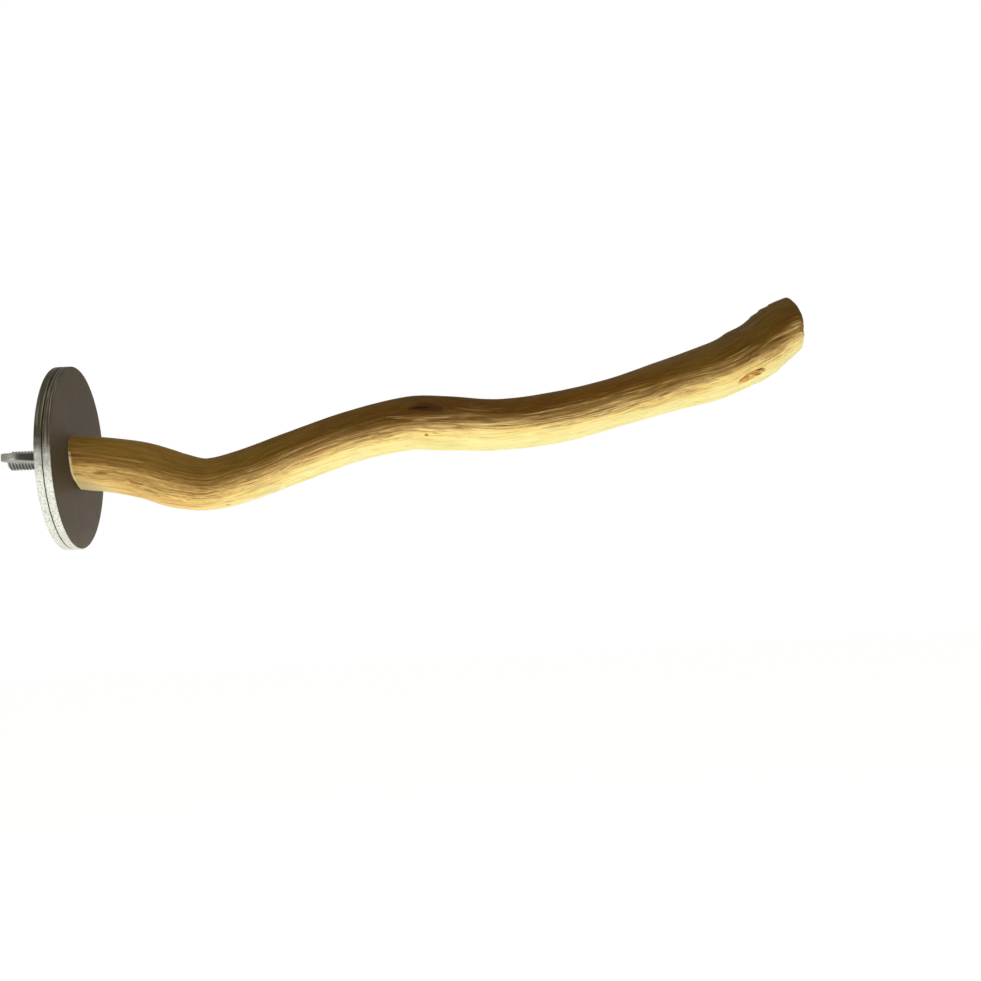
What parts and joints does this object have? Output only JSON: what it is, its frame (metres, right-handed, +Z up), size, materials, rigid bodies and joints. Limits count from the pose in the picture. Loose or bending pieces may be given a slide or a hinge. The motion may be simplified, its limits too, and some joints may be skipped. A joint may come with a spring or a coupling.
{
  "type": "bird perch",
  "caption": "Curved natural wood branch perch that clamps to a cage wall between two large washers with a stud and a wing nut.",
  "frame": {"origin": "centre of the front washer's clamping face, on the stud's axis", "axes": "+X away from the cage along the branch, +Z up, -X along the stud to its free tip"},
  "size_m": [0.33, 0.075, 0.0918],
  "materials": {
    "wood": "bark-stripped branch, dark weathered upper side, pale lower side, open grain",
    "washer_steel": "dark brown-grey oiled steel, brighter worn rim",
    "stud_steel": "zinc-plated rolled thread",
    "nut_steel": "zinc-plated, slightly rough as cast"
  },
  "bodies": {
    "perch": {"branch": "wood", "hanger_bolt": "stud_steel"},
    "front_jaw": {"front_washer": "washer_steel"},
    "rear_jaw": {"rear_washer": "washer_steel"},
    "nut": {"wing_nut": "nut_steel"}
  },
  "joints": [
    {"name": "front_washer_spin", "type": "hinge", "parent": "perch", "child": "front_jaw", "pos_m": [0, 0, 0], "axis": [1, 0, 0], "continuous": true},
    {"name": "clamp_travel", "type": "slide", "parent": "perch", "child": "rear_jaw", "axis": [-1, 0, 0], "range_m": [0, 0.0125]},
    {"name": "wing_nut_turn", "type": "hinge", "parent": "rear_jaw", "child": "nut", "pos_m": [-0.0064, 0, 0], "axis": [-1, 0, 0], "range_deg": [0, 3600]}
  ],
  "couplings": [
    {"joint": "wing_nut_turn", "follows": "clamp_travel", "rad_per_m": 5026.5}
  ]
}
